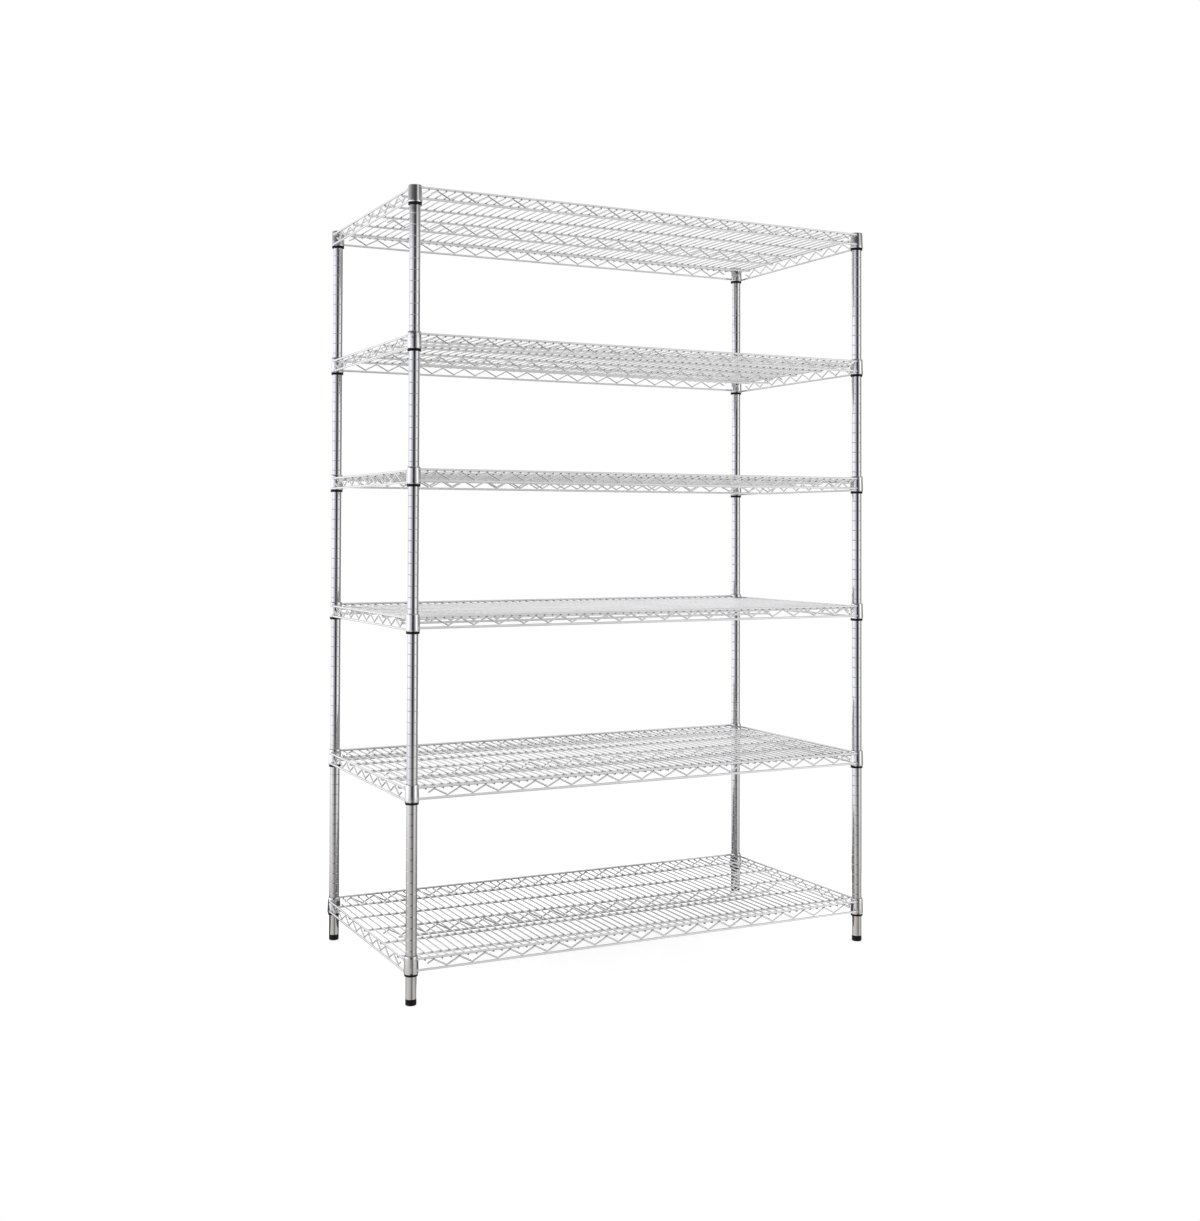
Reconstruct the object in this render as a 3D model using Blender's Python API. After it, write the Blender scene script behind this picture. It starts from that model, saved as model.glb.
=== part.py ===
"""A six-shelf wire shelving rack.

Four chromed tube posts stand on levelling feet. Each welded wire shelf has a tapered collar at every
corner, which sits on a tapered plastic sleeve snapped round the post. Units are metres, +Z is up, X runs
along the shelves' long side, Y runs front (-Y) to back (+Y), and the floor is at z = 0.
"""

import math

import bmesh
import bpy
from mathutils import Vector

# Posts: centre distances, tube section and the 1 inch pitch of the adjustment grooves
POST_SPAN_X = 1.215
POST_SPAN_Y = 0.596
POST_RADIUS = 0.0127
POST_WALL = 0.0012
GROOVE_PITCH = 0.0254
ROUND_SIDES = 12

# Shelf levels: height of the lowest one and each level's count of grooves above it
LOWEST_LEVEL = 0.0675
LEVEL_GROOVES = (0, 15, 30, 43, 55, 68)

# Clearance between pieces that touch, and the slightly larger one between round pieces
GAP = 0.0003
ROUND_GAP = 0.00033

# Sleeve and collar, with heights measured from the shelf's level
SLEEVE_BOTTOM = -0.0028
SLEEVE_TOP = 0.0364
SLEEVE_BOTTOM_RADIUS = 0.0156
SLEEVE_TOP_RADIUS = 0.0139
SLEEVE_EDGE = 0.0012
SLEEVE_SLIT = 0.0009
COLLAR_BOTTOM = 0.0026
COLLAR_TOP = 0.0424
COLLAR_BOTTOM_RADIUS = 0.0168
COLLAR_TOP_RADIUS = 0.0152
BORE_BEYOND = 0.002

# Wire diameters
RAIL_WIRE = 0.0058
LONG_WIRE = 0.0056
CROSS_WIRE = 0.0038
ZIGZAG_WIRE = 0.0040

# Shelf layout: rails run outside the post centres and stop short of them at the collars
RAIL_OFFSET = 0.013
RAIL_STOP = 0.010
CROSS_STEPS = 60
LONG_PITCH = 0.1225
LONG_PAIRS = 2
STEPS_PER_ZIGZAG = 3
FRONT_ZIGZAG_STEPS = 36
SIDE_ZIGZAG_STEPS = 16
MIDDLE_HALF_LENGTH = 0.534
END_WIRE_SPARE = 0.008
STRIP_WIDTH = 0.0046

# How far welded wires run into each other
WELD = 0.0006
LONG_WELD = 0.0017

# Heights of the wires' centres above the shelf's level
CROSS_HEIGHT = 0.0315
LONG_HEIGHT = CROSS_HEIGHT - (CROSS_WIRE + LONG_WIRE) / 2
FRONT_RAIL_HEIGHT = CROSS_HEIGHT + (CROSS_WIRE + RAIL_WIRE) / 2
SIDE_RAIL_HEIGHT = LONG_HEIGHT + (LONG_WIRE + RAIL_WIRE) / 2
FRONT_BOTTOM_HEIGHT = 0.0108
SIDE_BOTTOM_HEIGHT = 0.0065
MIDDLE_BOTTOM_HEIGHT = 0.0020

# Feet and caps
PAD_HEIGHT = 0.014
PAD_RADIUS = 0.0126
PAD_EDGE = 0.0013
STUD_RADIUS = 0.004
STUD_BOTTOM = 0.0055
STUD_TOP = 0.040
STUD_POINT = 0.001
INSERT_HEIGHT = 0.020
CAP_FLANGE = 0.0012
CAP_PLUG = 0.015
CAP_EDGE = 0.0004

RAIL_X = POST_SPAN_X / 2 + RAIL_OFFSET
RAIL_Y = POST_SPAN_Y / 2 + RAIL_OFFSET
CROSS_PITCH = 2 * RAIL_X / CROSS_STEPS
ZIGZAG_PITCH = STEPS_PER_ZIGZAG * CROSS_PITCH
LEVELS = [LOWEST_LEVEL + count * GROOVE_PITCH for count in LEVEL_GROOVES]
POST_BOTTOM = PAD_HEIGHT + GAP
POST_TOP = LEVELS[-1] + COLLAR_TOP - CAP_FLANGE
CORNERS = {
    "front_left": (-POST_SPAN_X / 2, -POST_SPAN_Y / 2),
    "front_right": (POST_SPAN_X / 2, -POST_SPAN_Y / 2),
    "back_left": (-POST_SPAN_X / 2, POST_SPAN_Y / 2),
    "back_right": (POST_SPAN_X / 2, POST_SPAN_Y / 2),
}


def clear_scene():
    for obj in list(bpy.data.objects):
        bpy.data.objects.remove(obj)


def material(name, colour, metallic, roughness):
    made = bpy.data.materials.new(name)
    made.use_nodes = True
    shader = made.node_tree.nodes["Principled BSDF"]
    shader.inputs["Base Color"].default_value = (*colour, 1)
    shader.inputs["Metallic"].default_value = metallic
    shader.inputs["Roughness"].default_value = roughness
    return made


def add_object(name, mesh, finish, location=(0, 0, 0), parent=None):
    """A named object at a world location; a mesh may be shared between copies."""
    obj = bpy.data.objects.new(name, mesh)
    bpy.context.scene.collection.objects.link(obj)
    if not mesh.materials:
        mesh.materials.append(finish)
    obj.parent = parent
    obj.location = Vector(location) - (parent.location if parent else Vector())
    return obj


def add_empty(name, location):
    empty = bpy.data.objects.new(name, None)
    bpy.context.scene.collection.objects.link(empty)
    empty.location = location
    return empty


def mesh_from(name, bm):
    bmesh.ops.recalc_face_normals(bm, faces=bm.faces)
    mesh = bpy.data.meshes.new(name)
    bm.to_mesh(mesh)
    bm.free()
    return mesh


def smooth(mesh):
    mesh.shade_smooth()
    mesh.set_sharp_from_angle(angle=math.radians(40))
    return mesh


def turned(name, profile, slit=0.0):
    """A ring turned from a closed (radius, height) outline, with an optional slit of the given angle."""
    stations = ROUND_SIDES + 1 if slit else ROUND_SIDES
    step = (math.tau - slit) / ROUND_SIDES
    bm = bmesh.new()
    rings = []
    for i in range(stations):
        angle = slit / 2 + i * step
        direction = Vector((math.cos(angle), math.sin(angle), 0))
        rings.append([bm.verts.new(direction * radius + Vector((0, 0, z))) for radius, z in profile])
    for i in range(ROUND_SIDES):
        join_loops(bm, rings[i], rings[(i + 1) % stations])
    if slit:
        bm.faces.new(rings[0])
        bm.faces.new(rings[-1])
    return smooth(mesh_from(name, bm))


def solid_of_rings(name, profile):
    """A solid turned from (radius, height) rings in order, closed flat on the first and the last."""
    bm = bmesh.new()
    rings = []
    for radius, z in profile:
        turn = [math.tau * i / ROUND_SIDES for i in range(ROUND_SIDES)]
        rings.append([bm.verts.new((radius * math.cos(a), radius * math.sin(a), z)) for a in turn])
    for lower, upper in zip(rings, rings[1:]):
        join_loops(bm, lower, upper)
    bm.faces.new(rings[0])
    bm.faces.new(rings[-1])
    return smooth(mesh_from(name, bm))


def join_loops(bm, first, second):
    count = len(first)
    for i in range(count):
        j = (i + 1) % count
        bm.faces.new((first[i], first[j], second[j], second[i]))


def triangle(width):
    half = width / 2
    return [(half, 0), (-half, half), (-half, -half)]


def wire(path, section, sideways):
    """A wire along a path in the plane square to sideways, with mitred corners."""
    points = [Vector(point) for point in path]
    sideways = Vector(sideways)
    runs = [(b - a).normalized() for a, b in zip(points, points[1:])]
    bm = bmesh.new()
    rings = []
    for i, point in enumerate(points):
        before = sideways.cross(runs[max(i - 1, 0)])
        after = sideways.cross(runs[min(i, len(runs) - 1)])
        mitre = (before + after) / (1 + before.dot(after))
        rings.append([bm.verts.new(point + mitre * a + sideways * b) for a, b in section])
    for first, second in zip(rings, rings[1:]):
        join_loops(bm, first, second)
    bm.faces.new(rings[0])
    bm.faces.new(rings[-1])
    return mesh_from("wire", bm)


def straight(half_length, low, high, width, x=None, y=None):
    """A straight wire along Y at the given x, or along X at the given y, whose section spans low to high."""
    middle = (low + high) / 2
    half_height = (high - low) / 2
    half = width / 2
    section = [(half_height, half), (-half_height, half), (-half_height, -half), (half_height, -half)]
    if x is None:
        return wire([(-half_length, y, middle), (half_length, y, middle)], section, (0, 1, 0))
    return wire([(x, -half_length, middle), (x, half_length, middle)], section, (1, 0, 0))


def zigzag(steps, start_high, low, high, place, sideways):
    """A zigzag of half-pitch steps about the middle, with half a step spare at both ends.

    The first and last corners at each height run into the wire they are welded to, and the others
    stop just short of it.
    """
    half_pitch = ZIGZAG_PITCH / 2
    reach = GAP + WELD
    corners = []
    for i in range(steps + 1):
        along = (i - steps / 2) * half_pitch
        is_high = (i % 2 == 0) == start_high
        welded = min(i, steps - i) < 2
        height = high if is_high else low
        if welded:
            height += reach if is_high else -reach
        corners.append((along, height))
    middle = (low + high) / 2
    first, last = corners[0], corners[-1]
    ends = [(first[0] - half_pitch / 2, middle), (last[0] + half_pitch / 2, middle)]
    return wire([place(*point) for point in [ends[0], *corners, ends[1]]], triangle(ZIGZAG_WIRE), sideways)


def deck_ladder():
    """The cross wires that reach both long sides, with the strips that tie their ends together."""
    last = CROSS_STEPS // 2 - 2
    half = CROSS_WIRE / 2
    outer_x = last * CROSS_PITCH + half
    outer_y = RAIL_Y - RAIL_WIRE / 2 + WELD
    slot_y = outer_y - STRIP_WIDTH
    slots = [(k * CROSS_PITCH + half, (k + 1) * CROSS_PITCH - half) for k in range(-last, last)]
    curve = bpy.data.curves.new("deck", "CURVE")
    curve.dimensions = "2D"
    curve.fill_mode = "BOTH"
    curve.extrude = half
    for (left, right), y in [((-outer_x, outer_x), outer_y)] + [(slot, slot_y) for slot in slots]:
        spline = curve.splines.new("POLY")
        spline.points.add(3)
        for point, (px, py) in zip(spline.points, ((left, -y), (right, -y), (right, y), (left, y))):
            point.co = (px, py, 0, 1)
        spline.use_cyclic_u = True
    holder = bpy.data.objects.new("deck", curve)
    bpy.context.scene.collection.objects.link(holder)
    mesh = bpy.data.meshes.new_from_object(holder.evaluated_get(bpy.context.evaluated_depsgraph_get()))
    bpy.data.objects.remove(holder)
    bm = bmesh.new()
    bm.from_mesh(mesh)
    bmesh.ops.remove_doubles(bm, verts=bm.verts, dist=1e-6)
    bmesh.ops.translate(bm, verts=bm.verts, vec=(0, 0, CROSS_HEIGHT))
    return mesh_from("deck", bm)


def collar_bore_radius(z):
    """The sleeve's taper carried on, with the clearance round it."""
    share = (z - SLEEVE_BOTTOM) / (SLEEVE_TOP - SLEEVE_BOTTOM)
    taper = SLEEVE_BOTTOM_RADIUS + share * (SLEEVE_TOP_RADIUS - SLEEVE_BOTTOM_RADIUS)
    return taper + ROUND_GAP


def shelf_wires():
    """Every wire of a shelf apart from the deck ladder, as separate closed meshes."""
    half_rail = RAIL_WIRE / 2
    half_zigzag = ZIGZAG_WIRE / 2
    deck_top = CROSS_HEIGHT + CROSS_WIRE / 2
    long_top = CROSS_HEIGHT - CROSS_WIRE / 2 - GAP
    long_under = LONG_HEIGHT - LONG_WIRE / 2
    front_under = deck_top - WELD
    side_under = long_top - WELD
    front_bottom_top = FRONT_BOTTOM_HEIGHT + half_rail
    side_bottom_top = SIDE_BOTTOM_HEIGHT + half_rail
    middle_bottom_top = MIDDLE_BOTTOM_HEIGHT + LONG_WIRE / 2
    length_x = POST_SPAN_X / 2 - RAIL_STOP
    length_y = POST_SPAN_Y / 2 - RAIL_STOP
    end_wire_y = LONG_PAIRS * LONG_PITCH + END_WIRE_SPARE
    clear = GAP + half_zigzag
    wires = []
    for side in (-1, 1):
        y = side * RAIL_Y
        wires.append(straight(length_x, front_under, FRONT_RAIL_HEIGHT + half_rail, RAIL_WIRE, y=y))
        wires.append(straight(length_x, FRONT_BOTTOM_HEIGHT - half_rail, front_bottom_top, RAIL_WIRE, y=y))
        wires.append(zigzag(FRONT_ZIGZAG_STEPS, True, front_bottom_top + clear, front_under - clear,
                            lambda s, z, y=y: (s, y, z), (0, 1, 0)))
        x = side * RAIL_X
        wires.append(straight(length_y, side_under, SIDE_RAIL_HEIGHT + half_rail, RAIL_WIRE, x=x))
        wires.append(straight(length_y, SIDE_BOTTOM_HEIGHT - half_rail, side_bottom_top, RAIL_WIRE, x=x))
        wires.append(zigzag(SIDE_ZIGZAG_STEPS, False, side_bottom_top + clear, side_under - clear,
                            lambda s, z, x=x: (x, s, z), (1, 0, 0)))
        end_wire_x = side * (CROSS_STEPS // 2 - 1) * CROSS_PITCH
        wires.append(straight(end_wire_y, long_top - WELD, deck_top, CROSS_WIRE, x=end_wire_x))
    for k in range(-LONG_PAIRS, LONG_PAIRS + 1):
        wires.append(straight(RAIL_X + LONG_WELD, long_under, long_top, LONG_WIRE, y=k * LONG_PITCH))
    middle_under = MIDDLE_BOTTOM_HEIGHT - LONG_WIRE / 2
    wires.append(straight(MIDDLE_HALF_LENGTH, middle_under, middle_bottom_top, LONG_WIRE, y=0))
    wires.append(zigzag(FRONT_ZIGZAG_STEPS, True, middle_bottom_top + clear, long_under - clear,
                        lambda s, z: (s, 0, z), (0, 1, 0)))
    return wires


def helper(mesh, group, location=(0, 0, 0)):
    """A body that a Boolean joins or cuts, kept out of the model."""
    obj = bpy.data.objects.new("helper", mesh)
    group.objects.link(obj)
    obj.location = location
    obj.hide_render = True
    obj.display_type = "WIRE"
    return obj


def shelf_mesh():
    """A welded shelf about its own level: ladder, wires and four collars in one body, with tapered bores."""
    joined = bpy.data.collections.new("joined")
    bores = bpy.data.collections.new("bores")
    for group in (joined, bores):
        bpy.context.scene.collection.children.link(group)
    for mesh in shelf_wires():
        helper(mesh, joined)
    cone = [(COLLAR_BOTTOM_RADIUS, COLLAR_BOTTOM), (COLLAR_TOP_RADIUS, COLLAR_TOP)]
    collar = solid_of_rings("collar", cone)
    ends = (COLLAR_BOTTOM - BORE_BEYOND, COLLAR_TOP + BORE_BEYOND)
    bore = solid_of_rings("bore", [(collar_bore_radius(z), z) for z in ends])
    for x, y in CORNERS.values():
        helper(collar, joined, (x, y, 0))
        helper(bore, bores, (x, y, 0))
    ladder = bpy.data.objects.new("ladder", deck_ladder())
    bpy.context.scene.collection.objects.link(ladder)
    for name, operation, group in (("weld", "UNION", joined), ("bore", "DIFFERENCE", bores)):
        boolean = ladder.modifiers.new(name, "BOOLEAN")
        boolean.solver = "EXACT"
        boolean.operation = operation
        boolean.operand_type = "COLLECTION"
        boolean.collection = group
    bpy.context.view_layer.update()
    mesh = bpy.data.meshes.new_from_object(ladder.evaluated_get(bpy.context.evaluated_depsgraph_get()))
    mesh.name = "shelf"
    for obj in [ladder, *joined.objects, *bores.objects]:
        bpy.data.objects.remove(obj)
    for group in (joined, bores):
        bpy.data.collections.remove(group)
    return mesh


def post_mesh():
    inner = POST_RADIUS - POST_WALL
    outline = [(POST_RADIUS, POST_BOTTOM), (POST_RADIUS, POST_TOP), (inner, POST_TOP), (inner, POST_BOTTOM)]
    return turned("post", outline)


def sleeve_mesh():
    """Both half sleeves snapped together: a tapered ring with one open seam."""
    inner = POST_RADIUS + ROUND_GAP
    return turned("sleeve", [
        (SLEEVE_BOTTOM_RADIUS - SLEEVE_EDGE, SLEEVE_BOTTOM),
        (SLEEVE_BOTTOM_RADIUS, SLEEVE_BOTTOM + SLEEVE_EDGE),
        (SLEEVE_TOP_RADIUS, SLEEVE_TOP),
        (inner, SLEEVE_TOP),
        (inner, SLEEVE_BOTTOM),
    ], slit=SLEEVE_SLIT / POST_RADIUS)


def cap_mesh():
    """A plug that fills the top of a post, with a thin flange over its rim."""
    plug = POST_RADIUS - POST_WALL - ROUND_GAP
    under = POST_TOP + GAP
    return solid_of_rings("post_cap", [
        (plug - CAP_EDGE, POST_TOP - CAP_PLUG),
        (plug, under),
        (POST_RADIUS, under),
        (POST_RADIUS, under + CAP_FLANGE - CAP_EDGE),
        (POST_RADIUS - CAP_EDGE, under + CAP_FLANGE),
    ])


def insert_mesh():
    """The threaded plug in the foot of a post."""
    outer = POST_RADIUS - POST_WALL - ROUND_GAP
    inner = STUD_RADIUS + GAP
    top = POST_BOTTOM + INSERT_HEIGHT
    return turned("foot_insert", [(outer, POST_BOTTOM), (outer, top), (inner, top), (inner, POST_BOTTOM)])


def stud_mesh():
    """The threaded stud of a foot, pointed at its upper end."""
    return solid_of_rings("foot_stud", [
        (STUD_RADIUS, STUD_BOTTOM),
        (STUD_RADIUS, STUD_TOP - STUD_POINT),
        (STUD_RADIUS - STUD_POINT, STUD_TOP),
    ])


def pad_mesh():
    """A round foot with a blind hole for its stud and a rounded lower edge."""
    hole = STUD_RADIUS + GAP
    return solid_of_rings("foot_pad", [
        (PAD_RADIUS - PAD_EDGE, 0),
        (PAD_RADIUS, PAD_EDGE),
        (PAD_RADIUS, PAD_HEIGHT),
        (hole, PAD_HEIGHT),
        (hole, STUD_BOTTOM - GAP),
    ])


def build_posts(chrome, black, steel):
    """The posts with their caps, threaded inserts and levelling feet."""
    post, cap, insert, stud, pad = post_mesh(), cap_mesh(), insert_mesh(), stud_mesh(), pad_mesh()
    for corner, (x, y) in CORNERS.items():
        add_object(f"post_{corner}", post, chrome, (x, y, 0))
        add_object(f"post_cap_{corner}", cap, black, (x, y, 0))
        add_object(f"foot_insert_{corner}", insert, black, (x, y, 0))
        foot = add_empty(f"foot_{corner}", (x, y, 0))
        add_object(f"foot_stud_{corner}", stud, steel, (x, y, 0), foot)
        add_object(f"foot_pad_{corner}", pad, black, (x, y, 0), foot)


def build_shelves(chrome, black):
    """Each shelf with its four sleeves, on an empty at its level."""
    shelf, sleeve = shelf_mesh(), sleeve_mesh()
    for number, height in enumerate(LEVELS, 1):
        level = add_empty(f"level_{number}", (0, 0, height))
        for corner, (x, y) in CORNERS.items():
            add_object(f"sleeve_{number}_{corner}", sleeve, black, (x, y, height), level)
        add_object(f"shelf_{number}", shelf, chrome, (0, 0, height), level)


def main():
    clear_scene()
    chrome = material("chrome", (0.72, 0.72, 0.75), 1.0, 0.12)
    black = material("black_plastic", (0.015, 0.015, 0.016), 0.0, 0.45)
    steel = material("zinc_steel", (0.55, 0.56, 0.58), 1.0, 0.35)
    build_posts(chrome, black, steel)
    build_shelves(chrome, black)


main()
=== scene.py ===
import math

import bmesh
import bpy
from mathutils import Matrix, Vector


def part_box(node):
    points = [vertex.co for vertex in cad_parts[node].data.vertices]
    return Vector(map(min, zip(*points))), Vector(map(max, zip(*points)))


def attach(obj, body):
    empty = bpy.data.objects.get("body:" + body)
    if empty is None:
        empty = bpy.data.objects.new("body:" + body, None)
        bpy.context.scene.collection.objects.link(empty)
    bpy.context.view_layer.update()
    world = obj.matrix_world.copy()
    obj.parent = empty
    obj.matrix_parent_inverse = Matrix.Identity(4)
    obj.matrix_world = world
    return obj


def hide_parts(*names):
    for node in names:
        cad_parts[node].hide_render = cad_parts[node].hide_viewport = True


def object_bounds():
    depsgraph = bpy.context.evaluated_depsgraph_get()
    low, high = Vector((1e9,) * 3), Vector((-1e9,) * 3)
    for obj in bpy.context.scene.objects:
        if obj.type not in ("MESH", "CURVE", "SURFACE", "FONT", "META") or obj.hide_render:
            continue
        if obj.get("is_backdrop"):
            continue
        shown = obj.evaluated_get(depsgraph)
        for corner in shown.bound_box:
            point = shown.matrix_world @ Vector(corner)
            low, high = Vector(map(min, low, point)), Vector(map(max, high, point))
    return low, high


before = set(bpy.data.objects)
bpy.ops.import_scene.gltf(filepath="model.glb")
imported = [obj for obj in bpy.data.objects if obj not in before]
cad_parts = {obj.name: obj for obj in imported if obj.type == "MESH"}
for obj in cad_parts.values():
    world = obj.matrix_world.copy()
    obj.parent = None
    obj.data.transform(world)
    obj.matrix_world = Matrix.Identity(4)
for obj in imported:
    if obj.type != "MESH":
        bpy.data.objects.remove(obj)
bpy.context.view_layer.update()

CORNERS = ("front_left", "front_right", "back_left", "back_right")
SHELVES = range(1, 7)

# Posts, and the play between a post or stud and what fits into it or over it
GROOVE_PITCH = 0.0254
GROOVE_OFFSET = 0.0030
GROOVE_HALF_WIDTH = 0.0008
GROOVE_DEPTH = 0.0003
GROOVE_PROFILE = ((-1.5, 0.0), (-1.0, 0.0), (-0.3, 1.0), (0.3, 1.0), (1.0, 0.0), (1.5, 0.0))
POST_WALL = 0.0012
POST_EDGE = 0.0003
POST_SIDES = 32
PLAY = 0.0002

# Sleeve and collar: heights count from the shelf's level, and the sleeve drops a little below it
SLEEVE_DROP = 0.0028
SLEEVE_TOP = 0.0364
SLEEVE_RING_RADIUS = 0.0155
SLEEVE_TOP_RADIUS = 0.0139
SLEEVE_SEAM = 0.0005
SLEEVE_ROUND = 0.0012
SLEEVE_EDGE = 0.0004
SLEEVE_RIDGE = ((1.0, 0.0), (0.3, 0.0004), (-0.3, 0.0004), (-1.0, 0.0))
COLLAR_BOTTOM = 0.0030
COLLAR_TOP = 0.0424
COLLAR_GAP = 0.0003
COLLAR_EDGE = 0.0006
COLLAR_SHAPE = ((0.01640, 0.0), (0.01675, 0.0006), (0.01680, 0.0030), (0.01632, 0.0180), (0.01585, 0.0340),
                (0.01572, 0.0374), (0.01538, 0.0388), (0.01480, 0.0393))
ROUND_SIDES = 32

# Wires: radii, the depth they are welded into each other, and the reach of the painted shade that darkens
# the crevices where they are welded together. A wire's cut end narrows over WIRE_END of its radius to
# WIRE_TIP of it.
RAIL_RADIUS = 0.0029
LONG_RADIUS = 0.0028
CROSS_RADIUS = 0.0019
ZIGZAG_RADIUS = 0.0020
WELD = 0.0004
WELD_SHADE = 0.0015
WELD_SHADE_EDGE = 2.3 * WELD_SHADE
WIRE_SIDES = 12
WIRE_END = 0.35
WIRE_TIP = 0.7

# Shelf layout. A bead's shape is (distance along the rail, shift sideways, share of the rail's radius), and
# edges that turn by less than SMOOTH_BELOW degrees are shaded smooth.
RAIL_OFFSET = 0.013
RAIL_STOP = 0.010
CROSS_STEPS = 60
CROSS_OVERHANG = 0.0015
LONG_PITCH = 0.1225
LONG_PAIRS = 2
END_WIRE_SPARE = 0.008
STEPS_PER_ZIGZAG = 3
LONG_ZIGZAG_STEPS = 36
SIDE_ZIGZAG_STEPS = 16
BEND_RADIUS = 0.0040
BEND_POINTS = 5
SMOOTH_BELOW = 35
BEAD_SHAPE = ((-0.0025, 0.0012, 0.25), (-0.0012, 0.0009, 0.7), (0.0, 0.00035, 1.1), (0.001, 0.0001, 1.22),
              (0.0022, 0.0, 1.15), (0.0032, 0.0, 1.04), (0.0040, 0.0, 0.9))

# Heights of the wires' centres above the shelf's level
CROSS_HEIGHT = 0.0315
LONG_HEIGHT = CROSS_HEIGHT - CROSS_RADIUS - LONG_RADIUS + WELD
FRONT_RAIL_HEIGHT = CROSS_HEIGHT + CROSS_RADIUS + RAIL_RADIUS - WELD
SIDE_RAIL_HEIGHT = LONG_HEIGHT + LONG_RADIUS + RAIL_RADIUS - WELD
FRONT_BOTTOM_HEIGHT = 0.0108
SIDE_BOTTOM_HEIGHT = 0.0065
MIDDLE_BOTTOM_HEIGHT = 0.0020
MIDDLE_HALF_LENGTH = 0.534

# Foot and cap
PAD_EDGE = 0.0026
PAD_RIBS = 4
PAD_RIB_DEPTH = 0.0003
THREAD_PITCH = 0.00125
THREAD_DEPTH = 0.0006
CAP_EDGE = 0.0005


def post_centre(corner):
    low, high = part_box(f"post_{corner}")
    return (low + high) / 2


def level_of(number):
    """A shelf's level, which its sleeves reach a little below."""
    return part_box(f"sleeve_{number}_front_left")[0].z + SLEEVE_DROP


POST_X = post_centre("front_right").x
POST_Y = post_centre("back_right").y
RAIL_X = POST_X + RAIL_OFFSET
RAIL_Y = POST_Y + RAIL_OFFSET
CROSS_PITCH = 2 * RAIL_X / CROSS_STEPS
ZIGZAG_PITCH = STEPS_PER_ZIGZAG * CROSS_PITCH
POST_RADIUS = (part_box("post_front_left")[1].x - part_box("post_front_left")[0].x) / 2


# ---- Mesh tools

def mesh_from(name, bm, angle=40):
    bmesh.ops.recalc_face_normals(bm, faces=bm.faces)
    mesh = bpy.data.meshes.new(name)
    bm.to_mesh(mesh)
    bm.free()
    mesh.shade_smooth()
    mesh.set_sharp_from_angle(angle=math.radians(angle))
    return mesh


def join_loops(bm, first, second, closed=True):
    count = len(first)
    for i in range(count if closed else count - 1):
        j = (i + 1) % count
        bm.faces.new((first[i], first[j], second[j], second[i]))


def turned(bm, profile, centre=(0, 0), sides=ROUND_SIDES, ring=False):
    """Turns (radius, height) points about a vertical axis, as a closed ring or as a solid with flat ends."""
    rings = []
    for radius, z in profile:
        turn = [math.tau * i / sides for i in range(sides)]
        rings.append([bm.verts.new((centre[0] + radius * math.cos(a), centre[1] + radius * math.sin(a), z))
                      for a in turn])
    for first, second in zip(rings, rings[1:]):
        join_loops(bm, first, second)
    if ring:
        join_loops(bm, rings[-1], rings[0])
    else:
        bm.faces.new(rings[0])
        bm.faces.new(rings[-1])


def arc(centre, radius, start, end, points):
    """Points on an arc in a (radius, height) plane, with angles in degrees from +radius towards +height."""
    made = []
    for i in range(points):
        angle = math.radians(start + (end - start) * i / (points - 1))
        made.append((centre[0] + radius * math.cos(angle), centre[1] + radius * math.sin(angle)))
    return made


def wire(bm, path, radius, sideways, sides=WIRE_SIDES):
    """A round wire along a path in the plane square to sideways, with its two cut ends slightly rounded."""
    points = [Vector(point) for point in path]
    sideways = Vector(sideways)
    runs = [(b - a).normalized() for a, b in zip(points, points[1:])]
    edge = radius * WIRE_END
    stations = [(points[0], WIRE_TIP, 0), (points[0] + runs[0] * edge, 1, 0)]
    stations += [(point, 1, i) for i, point in enumerate(points) if 0 < i < len(points) - 1]
    last = len(points) - 1
    stations += [(points[-1] - runs[-1] * edge, 1, last), (points[-1], WIRE_TIP, last)]
    rings = []
    for point, share, i in stations:
        before = sideways.cross(runs[max(i - 1, 0)])
        after = sideways.cross(runs[min(i, len(runs) - 1)])
        mitre = (before + after) / (1 + before.dot(after))
        ring = []
        for s in range(sides):
            angle = math.tau * s / sides
            ring.append(bm.verts.new(
                point + (mitre * math.cos(angle) + sideways * math.sin(angle)) * radius * share))
        rings.append(ring)
    for first, second in zip(rings, rings[1:]):
        join_loops(bm, first, second)
    bm.faces.new(rings[0])
    bm.faces.new(rings[-1])


def rounded(corners, radius, points):
    """A flat path through corners, each turned into an arc of the given bend radius."""
    path = [Vector(corners[0])]
    for before, corner, after in zip(corners, corners[1:], corners[2:]):
        corner = Vector(corner)
        towards, away = (Vector(before) - corner).normalized(), (Vector(after) - corner).normalized()
        half = towards.angle(away) / 2
        bisector = (towards + away).normalized()
        centre = corner + bisector * (radius / math.sin(half))
        start = corner + towards * (radius / math.tan(half)) - centre
        end = corner + away * (radius / math.tan(half)) - centre
        sweep = start.angle(end)
        for i in range(points):
            t = i / (points - 1)
            blend = (start * math.sin((1 - t) * sweep) + end * math.sin(t * sweep)) / math.sin(sweep)
            path.append(centre + blend)
    path.append(Vector(corners[-1]))
    return path


# ---- Shelves

def zigzag(bm, steps, start_high, low, high, place, sideways):
    """A zigzag wire of half-pitch steps about the middle, whose ends run on for half a step."""
    half_pitch = ZIGZAG_PITCH / 2
    corners = []
    for i in range(steps + 1):
        is_high = (i % 2 == 0) == start_high
        corners.append(((i - steps / 2) * half_pitch, high if is_high else low))
    middle = (low + high) / 2
    ends = [(corners[0][0] - half_pitch / 2, middle), (corners[-1][0] + half_pitch / 2, middle)]
    corners = [ends[0], *corners, ends[1]]
    path = rounded([place(*corner) for corner in corners], BEND_RADIUS, BEND_POINTS)
    wire(bm, path, ZIGZAG_RADIUS, sideways)


def along_x(bm, half_length, y, z, radius):
    wire(bm, [(-half_length, y, z), (half_length, y, z)], radius, (0, 1, 0))


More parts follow.
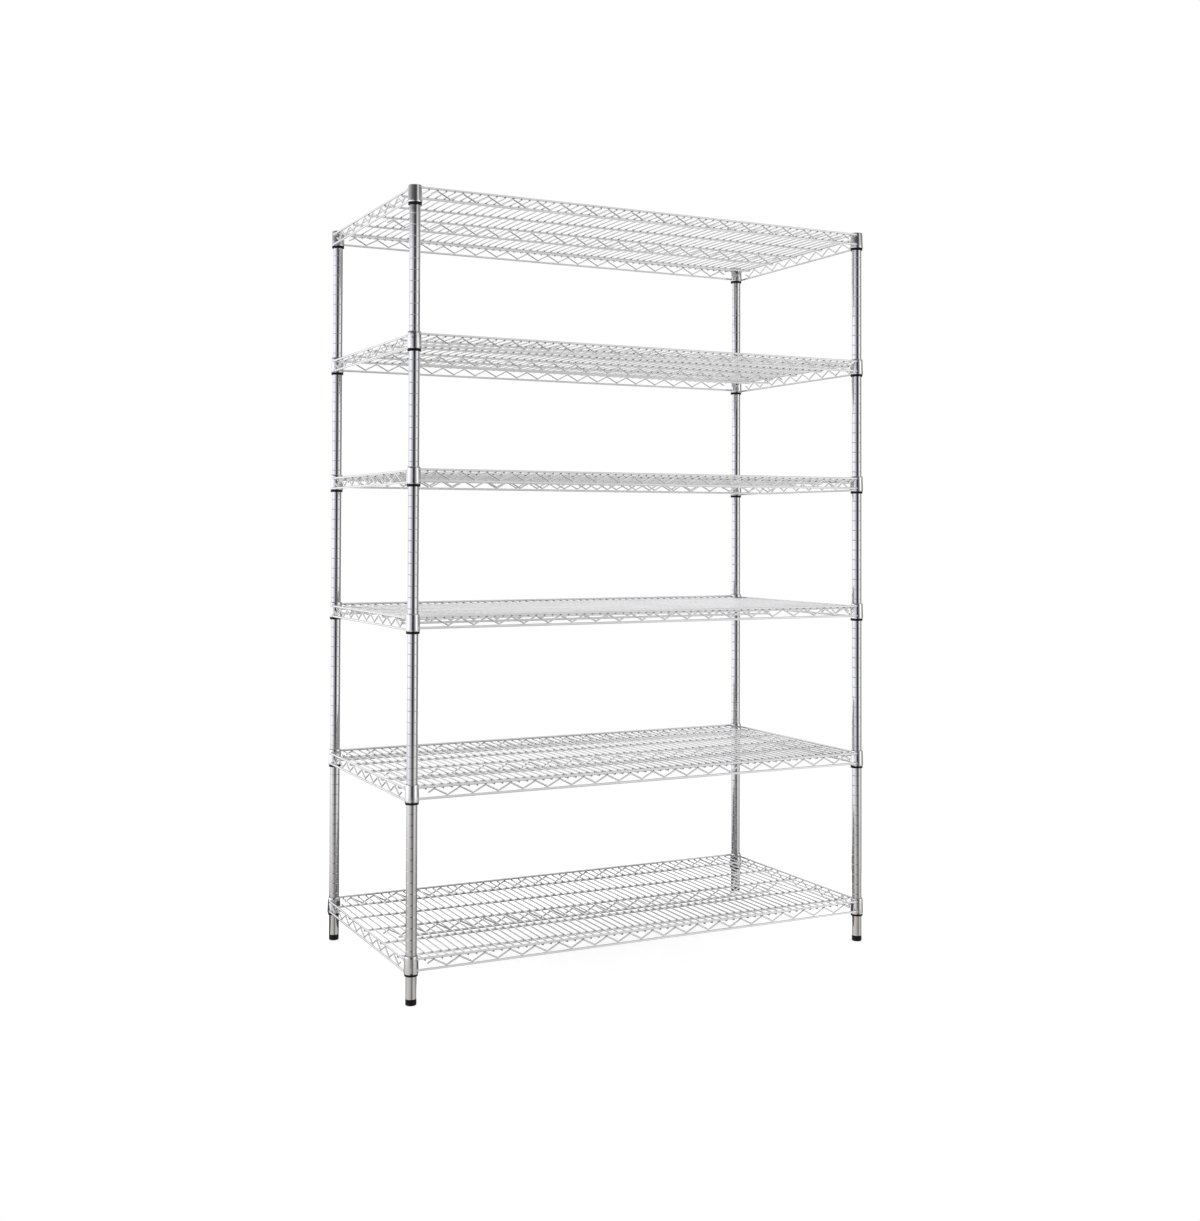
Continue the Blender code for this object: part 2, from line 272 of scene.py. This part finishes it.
def along_y(bm, half_length, x, z, radius):
    wire(bm, [(x, -half_length, z), (x, half_length, z)], radius, (1, 0, 0))


def bead(bm, place, along, aside):
    """A weld bead at a rail's end: it fades along the rail and tapers into the collar's side."""
    place, along, aside = Vector(place), Vector(along), Vector(aside)
    up = Vector((0, 0, 1))
    rings = []
    for distance, shift, share in BEAD_SHAPE:
        centre = place + along * distance + aside * shift
        turn = [math.tau * i / WIRE_SIDES for i in range(WIRE_SIDES)]
        rings.append([bm.verts.new(centre + (aside * math.cos(a) + up * math.sin(a)) * RAIL_RADIUS * share)
                      for a in turn])
    for first, second in zip(rings, rings[1:]):
        join_loops(bm, first, second)
    bm.faces.new(rings[0])
    bm.faces.new(rings[-1])


def collar(bm, centre):
    """A pressed steel collar: a cone that widens downwards, with a rolled lip and a tapered bore."""
    slope = (SLEEVE_RING_RADIUS - SLEEVE_TOP_RADIUS) / (SLEEVE_TOP - COLLAR_BOTTOM)

    def bore(z):
        return SLEEVE_TOP_RADIUS + slope * (SLEEVE_TOP - z) + COLLAR_GAP

    profile = [(radius, COLLAR_BOTTOM + z) for radius, z in COLLAR_SHAPE]
    profile += [(bore(z) + PLAY, z) for z in (COLLAR_TOP, COLLAR_TOP - COLLAR_EDGE)]
    profile += [(bore(z), z) for z in (COLLAR_TOP - 2 * COLLAR_EDGE, COLLAR_BOTTOM)]
    turned(bm, profile, centre, ring=True)


def shelf_mesh():
    """One welded shelf about its own level."""
    bm = bmesh.new()
    last_cross = CROSS_STEPS // 2 - 2
    for k in range(-last_cross, last_cross + 1):
        along_y(bm, RAIL_Y + CROSS_OVERHANG, k * CROSS_PITCH, CROSS_HEIGHT, CROSS_RADIUS)
    for side in (-1, 1):
        y = side * RAIL_Y
        x = side * RAIL_X
        along_y(bm, LONG_PAIRS * LONG_PITCH + END_WIRE_SPARE, side * (last_cross + 1) * CROSS_PITCH,
                CROSS_HEIGHT, CROSS_RADIUS)
        along_x(bm, POST_X - RAIL_STOP, y, FRONT_RAIL_HEIGHT, RAIL_RADIUS)
        along_x(bm, POST_X - RAIL_STOP, y, FRONT_BOTTOM_HEIGHT, RAIL_RADIUS)
        along_y(bm, POST_Y - RAIL_STOP, x, SIDE_RAIL_HEIGHT, RAIL_RADIUS)
        along_y(bm, POST_Y - RAIL_STOP, x, SIDE_BOTTOM_HEIGHT, RAIL_RADIUS)
        reach = RAIL_RADIUS + ZIGZAG_RADIUS - WELD
        zigzag(bm, LONG_ZIGZAG_STEPS, True, FRONT_BOTTOM_HEIGHT + reach, FRONT_RAIL_HEIGHT - reach,
               lambda s, z, y=y: (s, y, z), (0, 1, 0))
        zigzag(bm, SIDE_ZIGZAG_STEPS, False, SIDE_BOTTOM_HEIGHT + reach, SIDE_RAIL_HEIGHT - reach,
               lambda s, z, x=x: (x, s, z), (1, 0, 0))
    for across in (-1, 1):
        for along in (-1, 1):
            for height in (FRONT_BOTTOM_HEIGHT, FRONT_RAIL_HEIGHT):
                place = (along * (POST_X - RAIL_STOP), across * RAIL_Y, height)
                bead(bm, place, (-along, 0, 0), (0, across, 0))
            for height in (SIDE_BOTTOM_HEIGHT, SIDE_RAIL_HEIGHT):
                place = (along * RAIL_X, across * (POST_Y - RAIL_STOP), height)
                bead(bm, place, (0, -across, 0), (along, 0, 0))
    for k in range(-LONG_PAIRS, LONG_PAIRS + 1):
        along_x(bm, RAIL_X + CROSS_OVERHANG, k * LONG_PITCH, LONG_HEIGHT, LONG_RADIUS)
    along_x(bm, MIDDLE_HALF_LENGTH, 0, MIDDLE_BOTTOM_HEIGHT, LONG_RADIUS)
    reach = LONG_RADIUS + ZIGZAG_RADIUS - WELD
    zigzag(bm, LONG_ZIGZAG_STEPS, True, MIDDLE_BOTTOM_HEIGHT + reach, LONG_HEIGHT - reach,
           lambda s, z: (s, 0, z), (0, 1, 0))
    wire_faces = len(bm.faces)
    for corner in CORNERS:
        collar(bm, post_centre(corner))
    bm.faces.ensure_lookup_table()
    for face in bm.faces[wire_faces:]:
        face.material_index = 1
    return mesh_from("shelf", bm, SMOOTH_BELOW)


# ---- Posts, sleeves, caps and feet

def post_mesh():
    """A steel tube about its own axis with shallow rolled grooves."""
    low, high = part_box("post_front_left")
    inner = POST_RADIUS - POST_WALL
    profile = [(inner, low.z), (POST_RADIUS - POST_EDGE, low.z), (POST_RADIUS, low.z + POST_EDGE)]
    z = level_of(SHELVES[0]) + GROOVE_OFFSET
    while z < high.z - GROOVE_PITCH / 4:
        for share, depth in GROOVE_PROFILE:
            profile.append((POST_RADIUS - depth * GROOVE_DEPTH, z + share * GROOVE_HALF_WIDTH))
        z += GROOVE_PITCH
    profile += [(POST_RADIUS, high.z - POST_EDGE), (POST_RADIUS - POST_EDGE, high.z), (inner, high.z)]
    bm = bmesh.new()
    turned(bm, profile, sides=POST_SIDES, ring=True)
    return mesh_from("post", bm)


def sleeve_mesh():
    """Two moulded halves about the sleeve's axis and level, with a ridge inside that sits in a groove."""
    inner = POST_RADIUS + PLAY
    outline = [(inner, -SLEEVE_DROP + SLEEVE_EDGE), (inner + SLEEVE_EDGE, -SLEEVE_DROP)]
    outline += arc((SLEEVE_RING_RADIUS - SLEEVE_ROUND, -SLEEVE_DROP + SLEEVE_ROUND), SLEEVE_ROUND, -90, 0, 5)
    outline += [(SLEEVE_RING_RADIUS, COLLAR_BOTTOM - 0.0006),
                (SLEEVE_RING_RADIUS - 0.0003, COLLAR_BOTTOM - 0.0001)]
    outline += [(SLEEVE_TOP_RADIUS, SLEEVE_TOP - SLEEVE_EDGE), (SLEEVE_TOP_RADIUS - SLEEVE_EDGE, SLEEVE_TOP),
                (inner, SLEEVE_TOP)]
    outline += [(inner - depth, GROOVE_OFFSET + GROOVE_HALF_WIDTH * share) for share, depth in SLEEVE_RIDGE]
    steps = ROUND_SIDES // 2
    seam = SLEEVE_SEAM / POST_RADIUS
    bm = bmesh.new()
    for half in (0, 1):
        rings = []
        for i in range(steps + 1):
            angle = half * math.pi + seam / 2 + (math.pi - seam) * i / steps
            rings.append([bm.verts.new((r * math.cos(angle), r * math.sin(angle), z)) for r, z in outline])
        for first, second in zip(rings, rings[1:]):
            join_loops(bm, first, second)
        bm.faces.new(rings[0])
        bm.faces.new(rings[-1])
    return mesh_from("sleeve", bm)


def cap_mesh():
    """A moulded plug for the top of a post: a thin domed disc over the rim and a body inside the tube."""
    low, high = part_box("post_cap_front_left")
    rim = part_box("post_front_left")[1].z
    plug = POST_RADIUS - POST_WALL - PLAY
    top = high.z
    profile = [(plug - 0.001, low.z), (plug, low.z + 0.002), (plug, rim), (POST_RADIUS - PLAY, rim + PLAY)]
    profile += [(POST_RADIUS - PLAY, top - CAP_EDGE * 1.6), (POST_RADIUS - CAP_EDGE, top - CAP_EDGE * 0.7),
                (POST_RADIUS - CAP_EDGE * 2.5, top - CAP_EDGE * 0.4),
                (POST_RADIUS * 0.5, top - CAP_EDGE * 0.1), (POST_RADIUS * 0.15, top)]
    bm = bmesh.new()
    turned(bm, profile)
    return mesh_from("post_cap", bm)


def pad_mesh():
    """A moulded foot with shallow rings round its side, a rounded lower edge and a socket for the stud."""
    low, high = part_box("foot_pad_front_left")
    radius = (high.x - low.x) / 2
    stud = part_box("foot_stud_front_left")
    hole = (stud[1].x - stud[0].x) / 2 + PLAY
    profile = [(radius - PAD_EDGE * 1.6, 0.0004), (radius - PAD_EDGE * 1.4, 0.0)]
    profile += arc((radius - PAD_EDGE, PAD_EDGE), PAD_EDGE, -90, 0, 6)
    first, last = PAD_EDGE * 1.35, high.z - 0.0012
    pitch = (last - first) / PAD_RIBS
    for i in range(PAD_RIBS):
        start = first + i * pitch
        for share, depth in ((0.3, 0.0), (0.45, 1.0), (0.55, 1.0), (0.7, 0.0)):
            profile.append((radius - depth * PAD_RIB_DEPTH, start + share * pitch))
    profile += [(radius, high.z - 0.0006), (radius - 0.0006, high.z), (hole, high.z),
                (hole, stud[0].z - 0.0001)]
    bm = bmesh.new()
    turned(bm, profile)
    return mesh_from("foot_pad", bm)


def stud_mesh():
    """A stud with a helical thread: its radius follows the thread's phase round and along the axis."""
    low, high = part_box("foot_stud_front_left")
    radius = (high.x - low.x) / 2
    sides, steps = 16, 6
    rows = int((high.z - low.z) / THREAD_PITCH * steps)
    bm = bmesh.new()
    rings = []
    for row in range(rows + 1):
        z = low.z + (high.z - low.z) * row / rows
        ring = []
        for s in range(sides):
            phase = ((z - low.z) / THREAD_PITCH - s / sides) % 1
            taper = min(1.0, (high.z - z) / 0.0015 * 0.3 + 0.7)
            r = (radius - THREAD_DEPTH * (1 - abs(2 * phase - 1))) * taper
            angle = math.tau * s / sides
            ring.append(bm.verts.new((r * math.cos(angle), r * math.sin(angle), z)))
        rings.append(ring)
    for first, second in zip(rings, rings[1:]):
        join_loops(bm, first, second)
    bm.faces.new(rings[0])
    bm.faces.new(rings[-1])
    return mesh_from("foot_stud", bm, 75)


# ---- Materials

def new_material(name):
    made = bpy.data.materials.new(name)
    made.use_nodes = True
    nodes, links = made.node_tree.nodes, made.node_tree.links
    return made, nodes, links, nodes["Principled BSDF"]


def noise(nodes, links, scale, detail=3.0):
    """A noise value in the piece's own coordinates, shifted from piece to piece."""
    place = nodes.new("ShaderNodeTexCoord")
    info = nodes.new("ShaderNodeObjectInfo")
    offset = nodes.new("ShaderNodeVectorMath")
    offset.operation = "ADD"
    links.new(place.outputs["Object"], offset.inputs[0])
    links.new(info.outputs["Random"], offset.inputs[1])
    texture = nodes.new("ShaderNodeTexNoise")
    texture.inputs["Scale"].default_value = scale
    texture.inputs["Detail"].default_value = detail
    links.new(offset.outputs["Vector"], texture.inputs["Vector"])
    return texture.outputs["Fac"]


def ranged(nodes, links, value, low, high, start=0.3, end=0.7):
    """A value moved from the range start to end into low to high."""
    mapped = nodes.new("ShaderNodeMapRange")
    mapped.inputs["From Min"].default_value = start
    mapped.inputs["From Max"].default_value = end
    mapped.inputs["To Min"].default_value = low
    mapped.inputs["To Max"].default_value = high
    links.new(value, mapped.inputs["Value"])
    return mapped.outputs["Result"]


def tinted(nodes, links, value, first, second):
    """The first plain colour where value is 0, and the second where it is 1."""
    mix = nodes.new("ShaderNodeMix")
    mix.data_type = "RGBA"
    links.new(value, mix.inputs["Factor"])
    mix.inputs["A"].default_value = (*first, 1)
    mix.inputs["B"].default_value = (*second, 1)
    return mix.outputs["Result"]


def bump(nodes, links, shader, height, strength, distance):
    node = nodes.new("ShaderNodeBump")
    node.inputs["Strength"].default_value = strength
    node.inputs["Distance"].default_value = distance
    links.new(height, node.inputs["Height"])
    links.new(node.outputs["Normal"], shader.inputs["Normal"])


def weld_shade_mask(nodes, links):
    """Painted shade: 0 in the crevices where the cross wires are welded to the long wires and the rails, and
    1 away from there.
    """
    place = nodes.new("ShaderNodeTexCoord")
    split = nodes.new("ShaderNodeSeparateXYZ")
    links.new(place.outputs["Object"], split.inputs[0])
    x, y, z = split.outputs

    def maths(operation, *values):
        node = nodes.new("ShaderNodeMath")
        node.operation = operation
        for socket, value in zip(node.inputs, values):
            if isinstance(value, float):
                socket.default_value = value
            else:
                links.new(value, socket)
        return node.outputs[0]

    def reach(along, across, height):
        offset = nodes.new("ShaderNodeCombineXYZ")
        for socket, value in zip(offset.inputs, (along, across, maths("SUBTRACT", z, height))):
            links.new(value, socket)
        length = nodes.new("ShaderNodeVectorMath")
        length.operation = "LENGTH"
        links.new(offset.outputs[0], length.inputs[0])
        return length.outputs["Value"]

    from_cross = maths("PINGPONG", x, CROSS_PITCH / 2)
    from_long = maths("PINGPONG", y, LONG_PITCH / 2)
    from_rail = maths("ABSOLUTE", maths("SUBTRACT", maths("ABSOLUTE", y), RAIL_Y))
    nearest = maths("MINIMUM", reach(from_cross, from_long, CROSS_HEIGHT - CROSS_RADIUS),
                    reach(from_cross, from_rail, CROSS_HEIGHT + CROSS_RADIUS))
    return ranged(nodes, links, nearest, 0, 1, WELD_SHADE, WELD_SHADE_EDGE)


def chrome_material(name, dark, light, rough, peel, peel_scale, shade_welds=False):
    """Bright chrome plate with a cloudy tone, haze, a faint orange peel and, if asked for, painted shade
    darkening the crevices where the wires are welded.
    """
    made, nodes, links, shader = new_material(name)
    shader.inputs["Metallic"].default_value = 1.0
    clouds = ranged(nodes, links, noise(nodes, links, 9.0), 0, 1)
    colour = tinted(nodes, links, clouds, dark, light)
    # Painted shade: the crevices where the wires are welded together are darkened in the colour.
    if shade_welds:
        weld_shade = tinted(nodes, links, clouds, (0.10, 0.10, 0.11), (0.16, 0.16, 0.17))
        colour = blended(nodes, links, weld_shade_mask(nodes, links), weld_shade, colour)
    links.new(colour, shader.inputs["Base Color"])
    haze = noise(nodes, links, 60.0, 4.0)
    links.new(ranged(nodes, links, haze, *rough), shader.inputs["Roughness"])
    bump(nodes, links, shader, noise(nodes, links, peel_scale, 2.0), peel, 0.0004)
    return made


def plastic_material():
    """Near-black moulded plastic with a fine spark-eroded grain and slightly polished patches."""
    made, nodes, links, shader = new_material("black_plastic")
    wear = ranged(nodes, links, noise(nodes, links, 40.0), 0, 1)
    colour = tinted(nodes, links, wear, (0.003, 0.003, 0.0035), (0.008, 0.008, 0.009))
    links.new(colour, shader.inputs["Base Color"])
    links.new(ranged(nodes, links, noise(nodes, links, 150.0), 0.38, 0.58), shader.inputs["Roughness"])
    shader.inputs["Specular IOR Level"].default_value = 0.2
    bump(nodes, links, shader, noise(nodes, links, 2500.0, 2.0), 0.25, 0.0001)
    return made


def zinc_material():
    """Zinc-plated steel with a cloudy, slightly yellow passivated tone."""
    made, nodes, links, shader = new_material("zinc_steel")
    shader.inputs["Metallic"].default_value = 1.0
    clouds = ranged(nodes, links, noise(nodes, links, 120.0), 0, 1)
    colour = tinted(nodes, links, clouds, (0.48, 0.49, 0.50), (0.62, 0.62, 0.60))
    links.new(colour, shader.inputs["Base Color"])
    links.new(ranged(nodes, links, noise(nodes, links, 300.0), 0.26, 0.42), shader.inputs["Roughness"])
    bump(nodes, links, shader, noise(nodes, links, 900.0), 0.2, 0.0001)
    return made


# ---- Pieces

def add_piece(name, mesh, finishes, place, body, node):
    """A piece at its place in the frame that stands for a CAD node and rides on its body."""
    if not mesh.materials:
        for finish in finishes:
            mesh.materials.append(finish)
    piece = bpy.data.objects.new(name, mesh)
    bpy.context.scene.collection.objects.link(piece)
    piece.location = place
    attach(piece, body)
    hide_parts(node)


def build_pieces():
    """Every piece of the rack, and a finish for the CAD nodes that stay: the inserts in the posts' feet."""
    # The wires get painted shade in the crevices where they are welded together.
    wires = chrome_material("chrome_wire", (0.80, 0.80, 0.81), (0.87, 0.87, 0.88), (0.12, 0.20), 0.10, 260.0,
                            shade_welds=True)
    pressed = chrome_material("chrome_collar", (0.62, 0.62, 0.63), (0.74, 0.74, 0.75), (0.05, 0.12), 0.42,
                              150.0)
    tube = chrome_material("chrome_tube", (0.56, 0.56, 0.575), (0.63, 0.63, 0.645), (0.04, 0.10), 0.12, 55.0)
    black, zinc = plastic_material(), zinc_material()
    shelf, sleeve, post, cap, pad, stud = (
        shelf_mesh(), sleeve_mesh(), post_mesh(), cap_mesh(), pad_mesh(), stud_mesh())
    for corner in CORNERS:
        x, y, _ = post_centre(corner)
        place = (x, y, 0)
        foot = f"foot_{corner}"
        add_piece(f"chrome_post_{corner}", post, [tube], place, "root", f"post_{corner}")
        add_piece(f"moulded_cap_{corner}", cap, [black], place, "root", f"post_cap_{corner}")
        add_piece(f"threaded_stud_{corner}", stud, [zinc], place, foot, f"foot_stud_{corner}")
        add_piece(f"moulded_pad_{corner}", pad, [black], place, foot, f"foot_pad_{corner}")
        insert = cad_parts[f"foot_insert_{corner}"]
        insert.data.materials.clear()
        insert.data.materials.append(black)
    for number in SHELVES:
        level = level_of(number)
        add_piece(f"wire_shelf_{number}", shelf, [wires, pressed], (0, 0, level), f"shelf_{number}",
                  f"shelf_{number}")
        for corner in CORNERS:
            x, y, _ = post_centre(corner)
            add_piece(f"split_sleeve_{number}_{corner}", sleeve, [black], (x, y, level),
                      f"sleeves_{number}", f"sleeve_{number}_{corner}")


# ---- Studio

# The floor runs past the rack by its margin. On it lies painted shade: a dark sheet that stands in for the
# shade under and behind the rack. It has a front part, inset from the rack's left end, right end and front,
# and a wider part behind the rack.
FLOOR_MARGIN = 0.45
FLOOR_GLOW = 0.62
PAINTED_SHADE_INSET = (0.14, 0.16, 0.05)
PAINTED_SHADE_BACK = 0.42
PAINTED_SHADE_SIDE = 0.40
PAINTED_SHADE_HEIGHT = 0.0005
PAINTED_SHADE_GLOW = 0.05
LAMP_SIZE = 6.0
LAMP_HEIGHT = 4.5
LAMP_ENERGY = 210.0

# The camera stands in front of the rack's left end, a little above the middle, and looks almost level
CAMERA_PLACE = (-1.7433, -3.5098, 1.0645)
CAMERA_TURN, CAMERA_TILT, CAMERA_ROLL = -26.348, 1.112, 0.171
CAMERA_LENS = 44.399
CAMERA_SHIFT = (0.0041, -0.0912)

# Brightness of the room round the rack: azimuth in degrees from +X towards +Y, and a colour. The belt is the
# room at eye level, the low and deep rings are its floor, far and near, and the high ring is the gap between
# the lamps and the ceiling. BLENDS has the elevations between which each one passes into the next.
BELT = ((-180, 1.60, 1.60, 1.72), (-167, 1.15, 1.15, 1.24), (-152, 0.95, 0.95, 1.02),
        (-137, 0.68, 0.68, 0.73), (-127, 0.42, 0.42, 0.45), (-121, 0.16, 0.16, 0.17),
        (-114, 0.03, 0.03, 0.035), (-98, 0.03, 0.03, 0.035), (-92, 0.16, 0.16, 0.16), (-82, 0.30, 0.30, 0.30),
        (-74, 0.66, 0.66, 0.66), (-62, 0.90, 0.90, 0.90), (-54, 1.60, 1.60, 1.60), (-44, 1.60, 1.60, 1.60),
        (-36, 1.20, 1.20, 1.20), (-26, 0.75, 0.75, 0.75), (-15, 0.42, 0.42, 0.43), (6, 0.24, 0.24, 0.25),
        (30, 0.20, 0.20, 0.20), (44, 1.35, 1.35, 1.35), (92, 1.50, 1.50, 1.50), (101, 1.20, 1.20, 1.21),
        (127, 1.10, 1.10, 1.11), (137, 1.30, 1.30, 1.40), (150, 1.60, 1.60, 1.72), (180, 1.60, 1.60, 1.72))
LOW_RING = ((-180, 0.86, 0.84, 0.81), (-150, 0.80, 0.78, 0.74), (-128, 0.70, 0.67, 0.62),
            (-112, 0.52, 0.49, 0.45), (-103, 0.48, 0.45, 0.41), (-95, 0.24, 0.22, 0.20),
            (-85, 0.24, 0.22, 0.20), (-76, 0.58, 0.56, 0.52), (-60, 0.76, 0.74, 0.69),
            (-40, 0.80, 0.77, 0.71), (-15, 0.50, 0.48, 0.44), (10, 0.45, 0.43, 0.40), (30, 0.50, 0.48, 0.44),
            (44, 1.30, 1.29, 1.26), (90, 1.20, 1.19, 1.16), (100, 0.50, 0.49, 0.48), (130, 0.50, 0.49, 0.48),
            (150, 0.90, 0.88, 0.85), (180, 0.86, 0.84, 0.81))
DEEP_RING = ((-180, 0.92, 0.91, 0.89), (-140, 0.85, 0.84, 0.82), (-122, 0.35, 0.34, 0.32),
             (-112, 0.04, 0.04, 0.04), (-85, 0.04, 0.04, 0.04), (-76, 0.50, 0.49, 0.48),
             (-64, 0.60, 0.59, 0.58), (-40, 0.80, 0.79, 0.78), (40, 0.90, 0.90, 0.88), (86, 0.95, 0.94, 0.92),
             (98, 0.46, 0.45, 0.44), (130, 0.46, 0.45, 0.44), (150, 0.92, 0.91, 0.89),
             (180, 0.92, 0.91, 0.89))
HIGH_RING = ((-180, 0.35, 0.35, 0.36), (-150, 0.15, 0.15, 0.16), (-100, 0.07, 0.07, 0.07),
             (-82, 0.12, 0.12, 0.12), (-72, 0.75, 0.75, 0.75), (-50, 0.80, 0.80, 0.80),
             (-38, 0.30, 0.30, 0.30), (20, 0.35, 0.35, 0.35), (33, 1.20, 1.20, 1.22), (66, 1.20, 1.20, 1.22),
             (76, 0.90, 0.90, 0.90), (128, 0.76, 0.76, 0.76), (140, 0.50, 0.50, 0.52),
             (160, 0.50, 0.50, 0.52), (180, 0.35, 0.35, 0.36))
CEILING = (0.70, 0.70, 0.71)
BLENDS = ((-20, -17), (-14, -7), (10.2, 12.2), (31, 38))
BRIGHTEST = 2.0


def add_sheet(name, corners, height, dark, light, glow):
    """A flat matt sheet that glows a little. It isn't part of the rack."""
    bm = bmesh.new()
    bm.faces.new([bm.verts.new((x, y, height)) for x, y in corners])
    made, nodes, links, shader = new_material(name)
    shader.inputs["Roughness"].default_value = 0.9
    shader.inputs["Specular IOR Level"].default_value = 0.1
    shader.inputs["Emission Color"].default_value = (1, 1, 1, 1)
    shader.inputs["Emission Strength"].default_value = glow
    tone = tinted(nodes, links, noise(nodes, links, 1.5), (dark, dark, dark), (light, light, light))
    links.new(tone, shader.inputs["Base Color"])
    mesh = mesh_from(name, bm)
    mesh.materials.append(made)
    sheet = bpy.data.objects.new(name, mesh)
    bpy.context.scene.collection.objects.link(sheet)
    sheet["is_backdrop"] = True
    return sheet


def add_floor():
    """A pale sheet that runs a little past the rack all round, bright enough to merge into the backdrop."""
    low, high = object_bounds()
    left, right, front, back = (low.x - FLOOR_MARGIN, high.x + FLOOR_MARGIN, low.y - FLOOR_MARGIN,
                                high.y + FLOOR_MARGIN)
    corners = [(left, front), (right, front), (right, back), (left, back)]
    floor = add_sheet("floor", corners, 0, 0.50, 0.52, FLOOR_GLOW)
    floor.visible_glossy = False


def add_painted_shade():
    """A dark sheet of painted shade on the floor under and behind the rack, in place of the rack's shade
    there; it is seen only in the chrome and mostly low down.
    """
    low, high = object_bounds()
    left, right, front = low.x + PAINTED_SHADE_INSET[0], high.x - PAINTED_SHADE_INSET[1], low.y + PAINTED_SHADE_INSET[2]
    far_left, far_right, far = low.x - PAINTED_SHADE_SIDE, high.x + PAINTED_SHADE_SIDE, high.y + PAINTED_SHADE_BACK
    corners = [(left, front), (right, front), (right, high.y), (far_right, high.y), (far_right, far),
               (far_left, far), (far_left, high.y), (left, high.y)]
    # Painted shade: a dark, faintly glowing sheet that only reflections see.
    card = add_sheet("card", corners, PAINTED_SHADE_HEIGHT, 0.04, 0.05, PAINTED_SHADE_GLOW)
    card.visible_camera = False
    card.visible_diffuse = False
    card.visible_shadow = False


def add_lamp():
    """A wide lamp overhead that lights the floor evenly; it isn't seen in the chrome."""
    data = bpy.data.lights.new("lamp", "AREA")
    data.shape = "SQUARE"
    data.size = LAMP_SIZE
    data.energy = LAMP_ENERGY
    lamp = bpy.data.objects.new("lamp", data)
    bpy.context.scene.collection.objects.link(lamp)
    lamp.location = (0, 0, LAMP_HEIGHT)
    lamp.visible_glossy = False
    lamp.visible_camera = False


def band(nodes, links, turn, stops):
    """A colour that changes round the room, from (azimuth, red, green, blue) stops."""
    ramp = nodes.new("ShaderNodeValToRGB")
    ramp.color_ramp.interpolation = "LINEAR"
    links.new(turn, ramp.inputs["Fac"])
    made = ramp.color_ramp.elements
    made.remove(made[1])
    for i, (azimuth, *colour) in enumerate(stops):
        stop = made[0] if i == 0 else made.new((azimuth + 180) / 360)
        stop.position = (azimuth + 180) / 360
        stop.color = (*(value / BRIGHTEST for value in colour), 1)
    return ramp.outputs["Color"]


def blended(nodes, links, share, first, second):
    """The first colour where share is 0, and the second where it is 1."""
    mix = nodes.new("ShaderNodeMix")
    mix.data_type = "RGBA"
    links.new(share, mix.inputs["Factor"])
    links.new(first, mix.inputs["A"])
    links.new(second, mix.inputs["B"])
    return mix.outputs["Result"]


def add_world():
    """A white backdrop for the camera, and for everything else a room with bright and dark stretches."""
    world = bpy.data.worlds.new("studio")
    bpy.context.scene.world = world
    world.use_nodes = True
    nodes, links = world.node_tree.nodes, world.node_tree.links
    place = nodes.new("ShaderNodeTexCoord")
    split = nodes.new("ShaderNodeSeparateXYZ")
    links.new(place.outputs["Generated"], split.inputs[0])
    around = nodes.new("ShaderNodeMath")
    around.operation = "ARCTAN2"
    links.new(split.outputs["Y"], around.inputs[0])
    links.new(split.outputs["X"], around.inputs[1])
    turn = ranged(nodes, links, around.outputs[0], 0, 1, -math.pi, math.pi)
    upward = nodes.new("ShaderNodeMath")
    upward.operation = "ARCSINE"
    links.new(split.outputs["Z"], upward.inputs[0])

    ceiling = nodes.new("ShaderNodeRGB")
    ceiling.outputs[0].default_value = (*(value / BRIGHTEST for value in CEILING), 1)
    colour, *upper = [band(nodes, links, turn, stops) for stops in (DEEP_RING, LOW_RING, BELT, HIGH_RING)]
    for (start, end), shade in zip(BLENDS, [*upper, ceiling.outputs[0]]):
        share = ranged(nodes, links, upward.outputs[0], 0, 1, math.radians(start), math.radians(end))
        colour = blended(nodes, links, share, colour, shade)
    room = nodes["Background"]
    links.new(colour, room.inputs["Color"])
    room.inputs["Strength"].default_value = BRIGHTEST
    backdrop = nodes.new("ShaderNodeBackground")
    backdrop.inputs["Color"].default_value = (1, 1, 1, 1)
    path = nodes.new("ShaderNodeLightPath")
    mix = nodes.new("ShaderNodeMixShader")
    links.new(path.outputs["Is Camera Ray"], mix.inputs["Fac"])
    links.new(room.outputs["Background"], mix.inputs[1])
    links.new(backdrop.outputs["Background"], mix.inputs[2])
    links.new(mix.outputs["Shader"], nodes["World Output"].inputs["Surface"])


def add_camera():
    turn, tilt, roll = math.radians(CAMERA_TURN), math.radians(CAMERA_TILT), math.radians(CAMERA_ROLL)
    data = bpy.data.cameras.new("camera")
    camera = bpy.data.objects.new("camera", data)
    bpy.context.scene.collection.objects.link(camera)
    level = Vector((-math.sin(turn), math.cos(turn), 0))
    forward = level * math.cos(tilt) + Vector((0, 0, 1)) * math.sin(tilt)
    right = Vector((math.cos(turn), math.sin(turn), 0))
    up = right.cross(forward)
    leaned = right * math.cos(roll) + up * math.sin(roll)
    upright = leaned.cross(forward)
    turned_to = Matrix((leaned, upright, -forward)).transposed().to_4x4()
    camera.matrix_world = Matrix.Translation(CAMERA_PLACE) @ turned_to
    data.sensor_width = 36
    data.lens = CAMERA_LENS
    data.shift_x, data.shift_y = CAMERA_SHIFT
    data.clip_end = 200
    bpy.context.scene.camera = camera


build_pieces()
add_floor()
# Painted shade under and behind the rack, seen only in the chrome.
add_painted_shade()
add_lamp()
add_world()
add_camera()
bpy.context.scene.view_settings.view_transform = "Standard"
bpy.context.scene.cycles.glossy_bounces = 8
